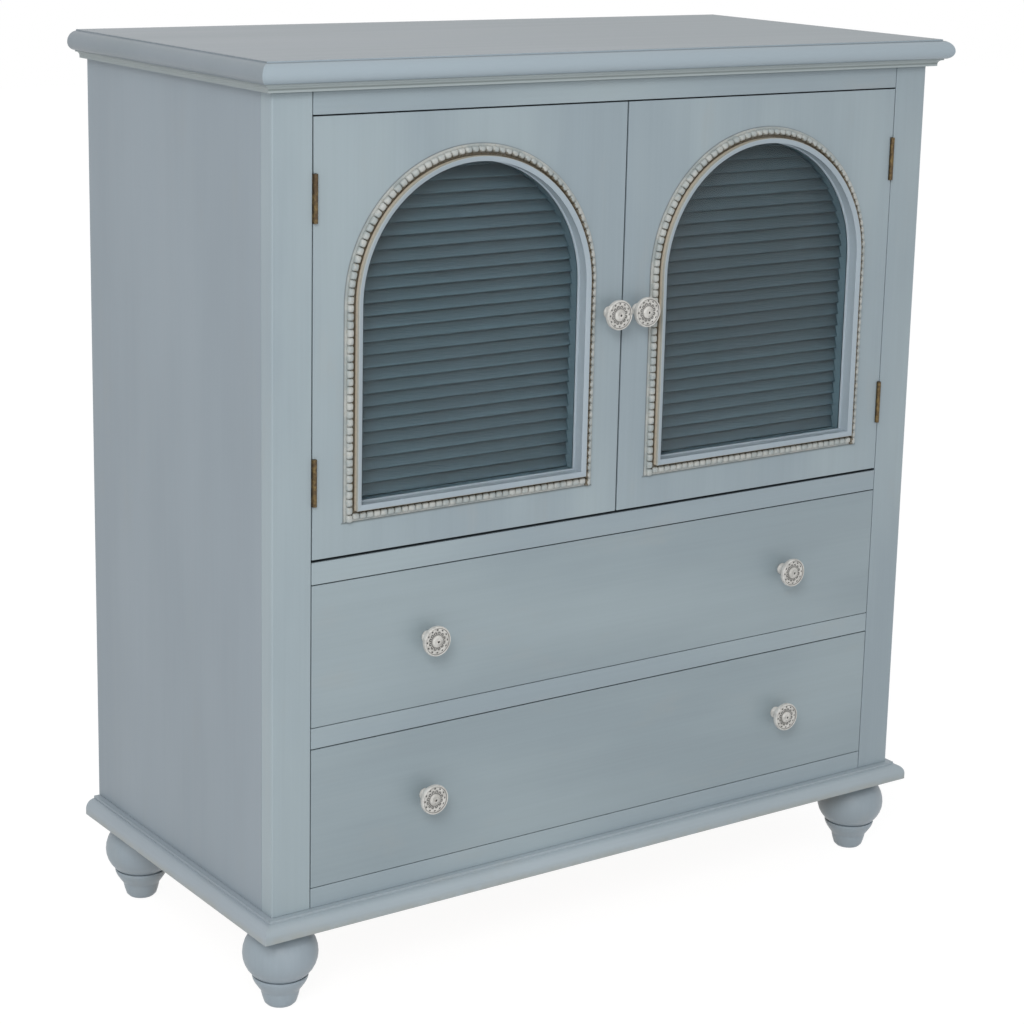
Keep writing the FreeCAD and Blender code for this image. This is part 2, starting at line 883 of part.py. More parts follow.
def carcass_nodes():
    """Everything that stays still."""
    places = foot_places()
    base = base_mouldings()
    side = side_panel()
    right_stile = stile()
    nodes = {
        "top_board": [top_board()],
        "top_cove_moulding": top_cove_moulding(),
        "left_side_panel": [mirror_x(side)],
        "right_side_panel": [side],
        "left_stile": [mirror_x(right_stile)],
        "right_stile": [right_stile],
        "back_panel": [back_panel()],
        "shelf": [shelf()],
        "shelf_pins": shelf_pins(),
        "base_moulding_front": [base["front"]],
        "base_moulding_left": [base["left"]],
        "base_moulding_right": [base["right"]],
        "base_back_rail": [base_back_rail()],
        "foot_blocks": [foot_block(place) for place in places.values()],
        "drawer_runners": drawer_runners(),
        "door_catches": both_sides([door_catch()]),
        "hinge_frame_leaves": both_sides([hinge_leaf(low, "frame") for low in hinge_lows()]),
    }
    for name in rails():
        nodes[name] = [rail(name)]
    for name in groove_levels():
        nodes[name] = [carcass_board(name)]
    for name, place in places.items():
        nodes[name] = [turned_foot(place)]
    return nodes


def all_nodes():
    nodes = carcass_nodes()
    for name, solids in door_nodes().items():
        nodes["right_" + name] = solids
        nodes["left_" + name] = [mirror_x(solid) for solid in solids]
    for level, (opening_z, _) in drawer_levels().items():
        for name, solids in drawer_nodes(opening_z).items():
            nodes[level + "_" + name] = solids
    return nodes


os.makedirs("parts", exist_ok=True)
for node, solids in all_nodes().items():
    shape = solids[0] if len(solids) == 1 else Part.makeCompound(solids)
    if shape.ShapeType == "Compound" and len(shape.Solids) == 1:
        shape = shape.Solids[0]
    shape.exportStep("parts/" + node + ".step")
    print(node, len(shape.Solids), "solids", round(shape.Volume), shape.isValid())
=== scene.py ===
import math
import random

import bpy
from mathutils import Matrix, Vector


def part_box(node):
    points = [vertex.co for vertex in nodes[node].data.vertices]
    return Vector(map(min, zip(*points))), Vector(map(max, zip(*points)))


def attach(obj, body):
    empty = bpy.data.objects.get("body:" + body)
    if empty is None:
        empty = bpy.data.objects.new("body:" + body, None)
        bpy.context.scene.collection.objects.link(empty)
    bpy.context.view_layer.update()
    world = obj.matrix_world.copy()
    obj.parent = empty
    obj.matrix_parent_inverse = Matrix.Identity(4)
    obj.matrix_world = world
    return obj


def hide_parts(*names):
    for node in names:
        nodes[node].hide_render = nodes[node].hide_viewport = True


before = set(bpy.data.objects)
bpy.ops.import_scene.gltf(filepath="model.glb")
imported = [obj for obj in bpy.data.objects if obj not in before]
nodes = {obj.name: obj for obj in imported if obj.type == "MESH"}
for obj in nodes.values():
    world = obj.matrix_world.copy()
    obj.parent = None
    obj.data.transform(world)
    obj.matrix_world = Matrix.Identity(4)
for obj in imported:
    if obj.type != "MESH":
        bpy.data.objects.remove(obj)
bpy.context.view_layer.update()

# Looks of a painted cupboard with arched glass doors over two drawers.
# Metres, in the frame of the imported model: +Z up, the front faces -Y.

random.seed(7)

# Camera, fitted to the straight edges of the photo
camera_place = Vector((-1.6235, -2.3073, 1.2117))
camera_azimuth = -35.8962
camera_elevation = 12.9848
camera_roll = -1.471
camera_lens = 87.5394
camera_shift = (-0.0368, -0.0902)

# Light: each lamp has a name, a place, a size and its watts
world_level = 0.56
lamps = [
    ("key_light", Vector((-2.4, -2.6, 2.6)), 1.6, 63.0),
    ("side_light", Vector((-3.3, -0.9, 1.3)), 2.4, 5.0),
    ("low_light", Vector((-0.6, -3.2, 0.3)), 1.6, 8.0),
]
light_target = Vector((0.0, 0.0, 0.5))
floor_half = 9.0
floor_glow = 0.93
floor_shade = 0.14

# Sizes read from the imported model
front_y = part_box("right_stile")[0].y
strip_low, strip_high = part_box("right_bead_strip")
strip_middle = (strip_low.x + strip_high.x) / 2
strip_outer = (strip_high.x - strip_low.x) / 2
spring_z = strip_high.z - strip_outer
sill_foot_z = strip_low.z
cove_foot_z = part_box("top_cove_moulding")[0].z
base_foot_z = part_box("base_moulding_front")[0].z

# Carved bead strip, as in the solids
strip_width = 0.0115
strip_thickness = 0.0013
strip_outer_lip = 0.0021
strip_arc_steps = 64
bead_width = 0.0068
bead_proud = 0.0060
bead_pitch = 0.0084
bead_gap = 0.0003
bead_foot_gap = 0.0002
bead_sides = 20
sill_stain = 0.3
moulding_gap = 0.0003
moulding_width = 0.0065
crown_width = 0.0057
moulding_outer = strip_outer - strip_width - moulding_gap
seam_offset = 0.0003

# Rings of one bead from its foot to its top: reach, rise, squareness, hollow and stain, the stain up its
# inner side being partly painted shade
bead_rings = [
    (1.0, 0.0, 6.0, 1.0, 1.0), (0.99, 0.28, 6.0, 0.8, 1.0), (0.95, 0.55, 5.0, 0.4, 1.0),
    (0.84, 0.78, 4.0, 0.1, 1.0), (0.64, 0.92, 3.0, 0.0, 0.9), (0.36, 0.985, 2.2, 0.0, 0.15),
    (0.12, 1.0, 2.0, 0.0, 0.0),
]

# Knobs, with rings of carving given as shares of the radius
knob_sides = 144
knob_outline_steps = 3
knob_carving = 0.0012
knob_petals = 12
pit_ring = (0.68, 0.84)
bell_ring = (0.36, 0.68)
hole_place = 0.60
hole_spread = 0.05
flute_ring = (0.10, 0.38)
eye_radius = 0.09
face_share = 0.85
dark_grooves = ((0.84, 0.89), (0.41, 0.46))
groove_dark = 0.6
board_thickness = 0.020
stud_radius = 0.002
stud_sides = 24
stud_start = 0.00005
nut_radius = 0.00404
nut_sides = 6
nut_thickness = 0.0032
fixing_ease = 0.0003

# Outline of a knob from the seat to the middle of its face, as shares of its projection and radius
knob_profile = [
    (0.0, 0.36), (0.02, 0.40), (0.06, 0.41), (0.10, 0.39), (0.15, 0.335), (0.24, 0.31), (0.36, 0.315),
    (0.46, 0.39), (0.55, 0.60), (0.62, 0.84), (0.67, 0.94), (0.73, 0.985), (0.79, 1.0), (0.85, 1.0),
    (0.905, 0.975), (0.925, 0.94), (0.92, 0.90), (0.885, 0.87), (0.875, 0.83), (0.885, 0.75), (0.88, 0.67),
    (0.865, 0.59), (0.855, 0.50), (0.86, 0.44), (0.90, 0.40), (0.955, 0.33), (0.99, 0.24), (1.0, 0.14),
    (0.985, 0.07), (0.945, 0.03),
]

# Painted shade in the joints of the front, as deep as its boards
joint_start = 0.0008
joint_full = 0.003
joint_depth = 0.0205
joint_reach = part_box("right_stile")[0].x + 0.002

# Painted shadow under the cove moulding, its lip, and the painted shade line above the lip
cove_shade_low = 0.0028
cove_shade_high = 0.0002
cove_lip = 0.0022
cove_line = cove_lip + 0.0009

# Rows of slats behind the glass, counted from the sill
slat_pitch = 0.0135
slat_start_drop = 0.0133
slat_start = sill_foot_z + strip_outer - moulding_outer + moulding_width - slat_start_drop

# Edges eased by a bevel, which leaves out the short edges of bores and arcs
board_ease = 0.0007
moulding_ease = 0.0003
ease_segments = 2
shortest_eased_edge = 0.0115
eased_angle = math.radians(50)
sharp_angle = math.radians(28)
weld_distance = 0.00001

# Paints: the tints of their light, dark and warm patches, in sRGB from 0 to 255
warm_grey = (160, 163, 162)
front_tints = ((157, 171, 177), (146, 160, 168), warm_grey)
drawer_tints = ((152, 166, 172), (142, 156, 163), warm_grey)
inside_tints = ((146, 158, 163), (138, 151, 158), warm_grey)
# The side's tints are the front paint made darker: painted shade on the side
side_tints = ((143, 155, 164), (138, 150, 159), (143, 151, 154))
# The top's tints are the front paint made darker: painted shade on the top
top_tints = ((132, 142, 150), (127, 138, 145), (142, 146, 146))
# The cove's tints are the front paint made lighter: painted light on the cove under the top
cove_tints = ((168, 179, 181), (162, 173, 175), (160, 165, 160))
moulding_tints = ((161, 174, 183), (154, 167, 176), (163, 169, 170))
# The base's front tints are the front paint made lighter: painted light on the base
base_front_tints = ((168, 180, 187), (158, 170, 177), (168, 168, 162))
base_side_tints = ((160, 171, 179), (151, 162, 170), (160, 161, 156))
foot_tints = ((154, 166, 175), (146, 158, 166), (160, 163, 160))
# The screen frame's tints are the slats' paint made lighter: painted light in the recess behind the glass
frame_tints = ((88, 105, 113), (82, 98, 106), (92, 100, 105))
slat_tints = ((42, 56, 63), (37, 51, 58), (46, 54, 58))

# Second colours over the paints
joint_painted_shade = (88, 98, 104)
cove_shade = (84, 94, 96)
strip_seam = (104, 106, 110)
sill_painted_shadow = (98, 106, 106)
top_right_painted_shade = (118, 131, 138)
top_edge_painted_highlight = (158, 172, 181)
cove_lip_pale = (162, 173, 175)
cove_line_painted_shade = (124, 134, 134)
cove_side_painted_shade = (149, 159, 161)
base_lower_edge_grey = (158, 162, 158)
foot_painted_shade = (88, 96, 94)
slat_edge_painted_highlight = (62, 82, 91)
slat_gap_painted_shadow = (28, 38, 44)
slat_right_painted_shade = (28, 40, 46)
reveal_painted_light = (178, 190, 199)
glaze_back = (165, 168, 163)
glaze_front = (206, 196, 178)
glaze_speck = (160, 148, 126)
glaze_foot = (92, 82, 66)

# Other materials: a main tint and a second one, and what lies in or on them
bead_tints = ((181, 184, 181), (160, 168, 168))
bead_speck = (162, 150, 130)
bead_glaze_and_shade = (93, 84, 67)
knob_tints = ((210, 209, 205), (190, 189, 185))
knob_speck = (172, 154, 136)
knob_hollow = (80, 80, 78)
wood_tints = ((214, 186, 146), (178, 143, 100))
back_tints = ((176, 150, 116), (142, 116, 86))
brass_tints = ((80, 66, 50), (122, 104, 68))
steel_tints = ((196, 197, 200), (166, 168, 172))
plastic_tints = ((74, 60, 50), (62, 50, 42))


# Node graphs

def scene_colour(tint):
    """Scene colour of an sRGB tint given in 0 to 255."""
    def linear(value):
        value /= 255
        return value / 12.92 if value <= 0.04045 else ((value + 0.055) / 1.055) ** 2.4
    return tuple(linear(value) for value in tint) + (1.0,)


class Graph:
    """The nodes of a material or a world, and short ways to add to them."""

    def __init__(self, owner):
        owner.use_nodes = True
        self.owner = owner
        self.tree = owner.node_tree
        self.shader = self.tree.nodes.get("Principled BSDF")

    def add(self, kind, **inputs):
        """Add a node. Inputs are values or sockets, by name with _ for a space."""
        node = self.tree.nodes.new("ShaderNode" + kind)
        for name, value in inputs.items():
            self.put(node.inputs[name.replace("_", " ")], value)
        return node

    def put(self, socket, value):
        """Link a socket to an input, or set its value."""
        if isinstance(value, bpy.types.NodeSocket):
            self.tree.links.new(value, socket)
        else:
            socket.default_value = value

    def set(self, **inputs):
        """Set inputs of the shader."""
        for name, value in inputs.items():
            self.put(self.shader.inputs[name.replace("_", " ")], value)

    def spot(self, axis):
        """Where a point lies along an axis of the part."""
        return self.add("SeparateXYZ", Vector=self.add("TexCoord").outputs["Object"]).outputs[axis]

    def facing(self, axis):
        """How far the surface faces along an axis of the part, from 0 to 1 either way."""
        normal = self.add("SeparateXYZ", Vector=self.add("TexCoord").outputs["Normal"])
        return self.math("ABSOLUTE", normal.outputs[axis])

    def noise_node(self, scale, detail, roughness):
        """Noise over the part's own coordinates, which the scale stretches."""
        mapping = self.add("Mapping", Scale=scale)
        self.put(mapping.inputs["Vector"], self.add("TexCoord").outputs["Object"])
        return self.add("TexNoise", Vector=mapping.outputs["Vector"], Scale=1.0, Detail=detail,
                        Roughness=roughness)

    def noise(self, scale, detail=2.0, roughness=0.5):
        """Noise from 0 to 1. One number as the scale is the same along all axes."""
        if isinstance(scale, float):
            scale = (scale, scale, scale)
        return self.noise_node(scale, detail, roughness).outputs["Fac"]

    def ramp(self, value, low, high, out_low=0.0, out_high=1.0):
        """Stretch a value between two limits, softly."""
        node = self.add("MapRange", Value=value, From_Min=low, From_Max=high, To_Min=out_low, To_Max=out_high)
        node.interpolation_type = "SMOOTHSTEP"
        return node.outputs["Result"]

    def mix(self, factor, first, second, blend="MIX"):
        """Mix two colours."""
        node = self.tree.nodes.new("ShaderNodeMix")
        node.data_type = "RGBA"
        node.blend_type = blend
        self.put(node.inputs[0], factor)
        self.put(node.inputs[6], first)
        self.put(node.inputs[7], second)
        return node.outputs[2]

    def math(self, operation, first, second=0.0):
        """One step of arithmetic."""
        node = self.tree.nodes.new("ShaderNodeMath")
        node.operation = operation
        self.put(node.inputs[0], first)
        self.put(node.inputs[1], second)
        return node.outputs[0]

    def product(self, first, *others):
        """All values multiplied."""
        for other in others:
            first = self.math("MULTIPLY", first, other)
        return first

    def apart(self, value, middle):
        """How far a value lies from another one, either way."""
        return self.math("ABSOLUTE", self.math("SUBTRACT", value, middle))

    def attribute(self, name):
        """A value stored on the points of the mesh."""
        node = self.add("Attribute")
        node.attribute_name = name
        return node.outputs["Fac"]

    def bump(self, height, strength, distance=0.0002):
        """Fine relief on the surface."""
        node = self.add("Bump", Height=height, Strength=strength, Distance=distance)
        self.put(self.shader.inputs["Normal"], node.outputs["Normal"])

    def paint_over(self, mask, tint):
        """Lay a second colour over the paint where the mask is 1."""
        base = self.shader.inputs["Base Color"].links[0].from_socket
        self.set(Base_Color=self.mix(mask, base, scene_colour(tint)))


def new_graph(name):
    """The graph of a new material."""
    return Graph(bpy.data.materials.new(name))


def along(grain, fine, coarse):
    """Scale that stretches a pattern along one axis."""
    return tuple(coarse if axis == grain else fine for axis in "xyz")


def show_instead(graph, mask, shader):
    """Show another shader in place of the material's own where the mask is 1."""
    both = graph.add("MixShader", Fac=mask)
    graph.put(both.inputs[1], graph.shader.outputs["BSDF"])
    graph.put(both.inputs[2], shader)
    graph.put(graph.tree.nodes["Material Output"].inputs["Surface"], both.outputs["Shader"])


def seen_rays(graph):
    """1 for rays that come from the camera, straight, in a reflection or through glass."""
    rays = graph.add("LightPath")
    seen = graph.math("ADD", rays.outputs["Is Camera Ray"], rays.outputs["Is Glossy Ray"])
    seen = graph.math("ADD", seen, rays.outputs["Is Transmission Ray"])
    return graph.math("MINIMUM", seen, 1.0)


# Paints

def brushed_paint(name, tints, grain, gloss=0.42, streaky=1.0):
    """Satin paint laid on with a brush, a little uneven, with faint warm patches."""
    graph = new_graph(name)
    light, dark, warm = (scene_colour(tint) for tint in tints)
    patches = graph.ramp(graph.noise(along(grain, 7.0, 2.2), 3.0), 0.35, 0.65)
    streaks = graph.noise(along(grain, 330.0, 5.0), 3.0)
    broad = graph.noise(along(grain, 60.0, 2.0))
    warmth = graph.ramp(graph.noise(along(grain, 24.0, 8.0), 4.0, 0.6), 0.56, 0.76, 0.0, 0.22)
    colour = graph.mix(warmth, graph.mix(patches, light, dark), warm)
    uneven = 0.012 * streaky
    shade = graph.math("ADD", graph.ramp(streaks, 0.3, 0.7, -uneven, uneven),
                       graph.ramp(broad, 0.3, 0.7, 1 - uneven, 1 + uneven))
    grey = graph.add("CombineColor", Red=shade, Green=shade, Blue=shade).outputs["Color"]
    graph.set(
        Base_Color=graph.mix(1.0, colour, grey, "MULTIPLY"),
        Roughness=graph.ramp(broad, 0.3, 0.7, gloss - 0.04 * streaky, gloss + 0.05 * streaky),
    )
    graph.bump(graph.math("ADD", streaks, broad), 0.1 * streaky)
    return graph


def arch_reach(graph):
    """How far a place on a door lies from the middle line of its arch, measured across the arch."""
    aside = graph.math("SUBTRACT", graph.math("ABSOLUTE", graph.spot("X")), strip_middle)
    above = graph.math("MAXIMUM", graph.math("SUBTRACT", graph.spot("Z"), spring_z), 0.0)
    squares = graph.math("ADD", graph.product(aside, aside), graph.product(above, above))
    below = graph.math("SUBTRACT", sill_foot_z + strip_outer, graph.spot("Z"))
    return graph.math("MAXIMUM", graph.math("SQRT", squares), below)


def jointed_paint(name, tints, grain):
    """Paint of the boards in the front, with painted shade inside the joints between them and a painted
    shadow under the cove.
    """
    graph = brushed_paint(name, tints, grain)
    far = front_y + joint_depth
    # Painted shade inside the joints: faces that lie back from the front, between the stiles, made dark
    joint_shade_mask = graph.product(
        graph.ramp(graph.spot("Y"), front_y + joint_start, front_y + joint_full),
        graph.ramp(graph.spot("Y"), far, far + 0.001, 1.0, 0.0),
        graph.ramp(graph.facing("Y"), 0.3, 0.8, 1.0, 0.0),
        graph.ramp(graph.math("ABSOLUTE", graph.spot("X")), joint_reach, joint_reach + 0.002, 1.0, 0.0),
    )
    graph.paint_over(joint_shade_mask, joint_painted_shade)
    # Painted shadow on the boards just under the cove moulding
    low, high = cove_foot_z - cove_shade_low, cove_foot_z - cove_shade_high
    graph.paint_over(graph.ramp(graph.spot("Z"), low, high, 0.0, 0.85), cove_shade)
    return graph


def door_paint(name, tints):
    """Paint of a door, with a thin dark line round the bead strip, and a wider painted shadow under its sill.
    """
    graph = jointed_paint(name, tints, "z")
    away = graph.apart(arch_reach(graph), strip_outer + seam_offset)
    graph.paint_over(graph.ramp(away, 0.0, 0.0012, 0.55, 0.0), strip_seam)
    # Painted shadow under the sill of the bead strip
    under = graph.product(graph.ramp(away, 0.0008, 0.0030, 0.75, 0.0),
                          graph.ramp(graph.spot("Z"), sill_foot_z - 0.0006, sill_foot_z + 0.0002, 1.0, 0.0))
    graph.paint_over(under, sill_painted_shadow)
    return graph.owner


def board_top_paint(name, tints):
    """Paint of the top: a painted highlight, lighter and bluer, on its rounded front edge, and painted shade
    a little darker to the right.
    """
    graph = brushed_paint(name, tints, "x", 0.40, 0.25)
    # Painted shade: the top a little darker towards the right
    graph.paint_over(graph.ramp(graph.spot("X"), -0.4, 0.45, 0.0, 0.8), top_right_painted_shade)
    # Painted highlight: faces that turn to the front, on the rounded edge, lighter and bluer
    graph.paint_over(graph.ramp(graph.facing("Y"), 0.10, 0.45), top_edge_painted_highlight)
    return graph.owner


def cove_paint(name, tints):
    """Paint of the moulding under the top: a lip, a painted shade line above it, and painted shade on its
    sides.
    """
    graph = brushed_paint(name, tints, "x")
    lip = cove_foot_z + cove_lip
    # Painted shade: a dark line above the lip
    line = graph.apart(graph.spot("Z"), cove_foot_z + cove_line)
    graph.paint_over(graph.ramp(graph.spot("Z"), lip - 0.0005, lip, 1.0, 0.0), cove_lip_pale)
    graph.paint_over(graph.ramp(line, 0.0006, 0.0013, 0.9, 0.0), cove_line_painted_shade)
    # Painted shade on the sides of the moulding
    graph.paint_over(graph.ramp(graph.facing("X"), 0.3, 0.6), cove_side_painted_shade)
    return graph.owner


def base_paint(name, tints, grain):
    """Paint of the base moulding, a warm grey along its lower edge."""
    graph = brushed_paint(name, tints, grain)
    lower_edge_mask = graph.product(graph.ramp(graph.spot("Z"), base_foot_z, base_foot_z + 0.010, 0.75, 0.0),
                        graph.ramp(graph.noise(60.0, 3.0), 0.3, 0.6, 0.4, 1.0))
    graph.paint_over(lower_edge_mask, base_lower_edge_grey)
    return graph.owner


def turned_paint(name, tints):
    """Paint of the feet, with painted shade where the balls meet the base."""
    graph = brushed_paint(name, tints, "z")
    # Painted shade at the top of each ball, under the base moulding
    ball_top_shade_mask = graph.product(graph.ramp(graph.spot("Z"), base_foot_z - 0.014, base_foot_z, 0.0, 0.5),
                          graph.ramp(graph.noise(90.0, 3.0), 0.3, 0.65, 0.4, 1.0))
    graph.paint_over(ball_top_shade_mask, foot_painted_shade)
    return graph.owner


def slat_paint(name, tints):
    """Paint of the slats: a painted highlight along each one's lower edge, a painted shadow under the one
    above, and painted shade over the right door's slats towards the top.
    """
    graph = brushed_paint(name, tints, "x", 0.5)
    rows = graph.math("DIVIDE", graph.math("SUBTRACT", graph.spot("Z"), slat_start), slat_pitch)
    row = graph.math("FRACT", rows)
    streak = graph.noise((9.0, 9.0, 420.0), 3.0)
    # Painted highlight along the lower edge of each slat
    low = graph.product(graph.ramp(row, 0.0, 0.75, 0.75, 0.0), graph.ramp(streak, 0.3, 0.7, 0.5, 1.0))
    graph.paint_over(low, slat_edge_painted_highlight)
    # Painted shadow under the slat above
    graph.paint_over(graph.ramp(row, 0.80, 1.0, 0.0, 0.6), slat_gap_painted_shadow)
    # Painted shade over the right door's slats, towards the top
    right_shade_mask = graph.product(graph.ramp(graph.spot("X"), 0.0, 0.1, 0.0, 0.4),
                           graph.ramp(graph.spot("Z"), 0.58, 0.72))
    graph.paint_over(right_shade_mask, slat_right_painted_shade)
    return graph.owner


def glazed_paint(name, tints):
    """Paint of the arched moulding, with brown glaze on its outer wall next to the beads, and painted light,
    paler and bluer, on the reveal inside its crown.
    """
    graph = brushed_paint(name, tints, "z", 0.36)
    depth = graph.spot("Y")
    reach = arch_reach(graph)
    crown = moulding_outer - crown_width
    # Painted light: the reveal inside the crown made paler and bluer
    graph.paint_over(graph.ramp(reach, crown - 0.0006, crown + 0.0002, 1.0, 0.0), reveal_painted_light)
    wall = graph.ramp(reach, moulding_outer - 0.0008, moulding_outer - 0.0003)
    speck = graph.noise(300.0, 3.0, 0.6)
    tint = graph.ramp(depth, front_y - 0.0085, front_y - 0.0045)
    glaze = graph.mix(tint, scene_colour(glaze_back), scene_colour(glaze_front))
    glaze = graph.mix(graph.ramp(speck, 0.45, 0.7, 0.0, 0.3), glaze, scene_colour(glaze_speck))
    foot = graph.ramp(depth, front_y - 0.0030, front_y - 0.0016)
    glaze = graph.mix(foot, glaze, scene_colour(glaze_foot))
    base = graph.shader.inputs["Base Color"].links[0].from_socket
    graph.set(Base_Color=graph.mix(wall, base, glaze))
    return graph.owner


def antiqued_paint():
    """Pale paint on the beads, with brown glaze left in the hollows and up their inner sides, where it is
    partly painted shade.
    """
    graph = new_graph("antiqued_paint")
    speck = graph.noise(420.0, 3.0, 0.6)
    drift = graph.noise(60.0)
    first, second = (scene_colour(tint) for tint in bead_tints)
    pale = graph.mix(graph.ramp(drift, 0.38, 0.62), first, second)
    pale = graph.mix(graph.ramp(speck, 0.55, 0.72, 0.0, 0.5), pale, scene_colour(bead_speck))
    hollow = graph.product(graph.ramp(graph.attribute("hollow"), 0.2, 0.9),
                           graph.ramp(speck, 0.2, 0.6, 0.7, 1.0))
    graph.set(Base_Color=graph.mix(hollow, pale, scene_colour(bead_glaze_and_shade)), Roughness=0.5)
    graph.bump(speck, 0.2)
    return graph.owner


def carved_white():
    """Worn white paint on the carved knobs, dark in the hollows."""
    graph = new_graph("carved_white")
    speck = graph.noise(600.0, 3.0, 0.6)
    drift = graph.noise(130.0)
    first, second = (scene_colour(tint) for tint in knob_tints)
    pale = graph.mix(graph.ramp(drift, 0.4, 0.62), first, second)
    pale = graph.mix(graph.ramp(speck, 0.56, 0.74, 0.0, 0.5), pale, scene_colour(knob_speck))
    hollow = graph.ramp(graph.attribute("hollow"), 0.15, 0.85)
    graph.set(Base_Color=graph.mix(hollow, pale, scene_colour(knob_hollow)), Roughness=0.45)
    graph.bump(speck, 0.15)
    return graph.owner


# Wood, metal, plastic and glass

def bare_wood(name, tints, grain):
    """Planed wood with grain lines along one axis."""
    graph = new_graph(name)
    light, dark = (scene_colour(tint) for tint in tints)
    warp = graph.noise_node(along(grain, 30.0, 1.6), 3.0, 0.5)
    rings = graph.add("TexWave", Vector=warp.outputs["Color"], Scale=9.0, Distortion=2.0, Detail=2.0)
    fibres = graph.noise(along(grain, 900.0, 14.0))
    colour = graph.mix(graph.ramp(rings.outputs["Fac"], 0.2, 0.9, 0.0, 0.75), light, dark)
    colour = graph.mix(graph.ramp(fibres, 0.45, 0.75, 0.0, 0.35), colour, dark)
    graph.set(Base_Color=colour, Roughness=graph.ramp(fibres, 0.3, 0.7, 0.55, 0.7))
    graph.bump(fibres, 0.2)
    return graph.owner


def two_tone(graph, pattern, low, high, tints, smooth, rough, metallic=0.0):
    """Two tints and a gloss that follow one pattern. The gloss takes the pattern from 0.3 to 0.7."""
    first, second = (scene_colour(tint) for tint in tints)
    graph.set(Base_Color=graph.mix(graph.ramp(pattern, low, high), first, second),
              Metallic=metallic, Roughness=graph.ramp(pattern, 0.3, 0.7, smooth, rough))
    return graph.owner


def aged_brass():
    """Dull brown brass, with brighter rubbed spots."""
    graph = new_graph("aged_brass")
    patches = graph.noise(220.0, 4.0, 0.6)
    graph.bump(patches, 0.15)
    return two_tone(graph, patches, 0.35, 0.7, brass_tints, 0.38, 0.55, 0.75)


def zinc_steel():
    """Zinc plated steel, finely brushed."""
    graph = new_graph("zinc_steel")
    return two_tone(graph, graph.noise((900.0, 60.0, 60.0)), 0.3, 0.7, steel_tints, 0.28, 0.42, 1.0)


def catch_plastic():
    """Brown moulded plastic with a fine grain."""
    graph = new_graph("catch_plastic")
    grain = graph.noise(1500.0)
    graph.bump(grain, 0.2, 0.0001)
    return two_tone(graph, grain, 0.3, 0.7, plastic_tints, 0.45, 0.6)


def clear_glass():
    """Float glass that lets light fall straight on the slats behind it."""
    graph = new_graph("clear_glass")
    waves = graph.noise(9.0, 1.0)
    graph.set(
        Base_Color=graph.mix(graph.ramp(waves, 0.3, 0.7), (0.90, 0.96, 0.97, 1), (0.93, 0.97, 0.98, 1)),
        Roughness=0.0, IOR=1.2, Transmission_Weight=1.0,
    )
    clear = graph.add("BsdfTransparent", Color=(0.92, 0.96, 0.97, 1))
    rays = graph.add("LightPath")
    show_instead(graph, rays.outputs["Is Shadow Ray"], clear.outputs["BSDF"])
    return graph.owner


def floor_material():
    """Pale floor that keeps the shadow, shown white to the camera."""
    graph = new_graph("pale_floor")
    tone = graph.noise(0.8)
    graph.set(Base_Color=graph.mix(tone, (0.78, 0.78, 0.78, 1), (0.8, 0.8, 0.8, 1)), Roughness=0.9)
    white = graph.add("Emission", Color=(1, 1, 1, 1), Strength=floor_glow)
    soft = graph.add("BsdfDiffuse", Color=(floor_shade, floor_shade, floor_shade, 1))
    shown = graph.add("AddShader")
    graph.put(shown.inputs[0], white.outputs["Emission"])
    graph.put(shown.inputs[1], soft.outputs["BSDF"])
    show_instead(graph, seen_rays(graph), shown.outputs["Shader"])
    return graph.owner


# Stage

def make_camera():
    """The camera at the photo's viewing angle."""
    azimuth, elevation, roll = (math.radians(v) for v in (camera_azimuth, camera_elevation, camera_roll))
    back = Vector((
        math.sin(azimuth) * math.cos(elevation),
        -math.cos(azimuth) * math.cos(elevation),
        math.sin(elevation),
    ))
    level = (-back).cross(Vector((0, 0, 1))).normalized()
    down = (-back).cross(level)
    right = math.cos(roll) * level + math.sin(roll) * down
    up = math.sin(roll) * level - math.cos(roll) * down
    data = bpy.data.cameras.new("camera")
    data.lens = camera_lens
    data.shift_x, data.shift_y = camera_shift
    camera = bpy.data.objects.new("camera", data)
    camera.matrix_world = Matrix.Translation(camera_place) @ Matrix((right, up, back)).transposed().to_4x4()
    bpy.context.scene.collection.objects.link(camera)
    bpy.context.scene.camera = camera


def make_lights():
    """Round lamps, each turned to the middle of the cupboard."""
    for name, place, size, watts in lamps:
        data = bpy.data.lights.new(name, "AREA")
        data.shape = "DISK"
        data.size = size
        data.energy = watts
        lamp = bpy.data.objects.new(name, data)
        lamp.location = place
        lamp.rotation_mode = "QUATERNION"
        lamp.rotation_quaternion = (light_target - place).to_track_quat("-Z", "Y")
        bpy.context.scene.collection.objects.link(lamp)


def make_world():
    """An even world that shows white to the camera and in reflections."""
    world = bpy.data.worlds.new("studio")
    graph = Graph(world)
    bpy.context.scene.world = world
    level = graph.add("MapRange", Value=seen_rays(graph), To_Min=world_level, To_Max=1.0)
    background = graph.tree.nodes["Background"]
    graph.put(background.inputs["Color"], (1, 1, 1, 1))
    graph.put(background.inputs["Strength"], level.outputs["Result"])


def make_floor(material):
    """A wide flat floor, which is part of the stage."""
    mesh = bpy.data.meshes.new("floor")
    corners = [(-floor_half, -floor_half, 0), (floor_half, -floor_half, 0),
               (floor_half, floor_half, 0), (-floor_half, floor_half, 0)]
    mesh.from_pydata(corners, [], [(0, 1, 2, 3)])
    mesh.materials.append(material)
    floor = bpy.data.objects.new("floor", mesh)
    bpy.context.scene.collection.objects.link(floor)


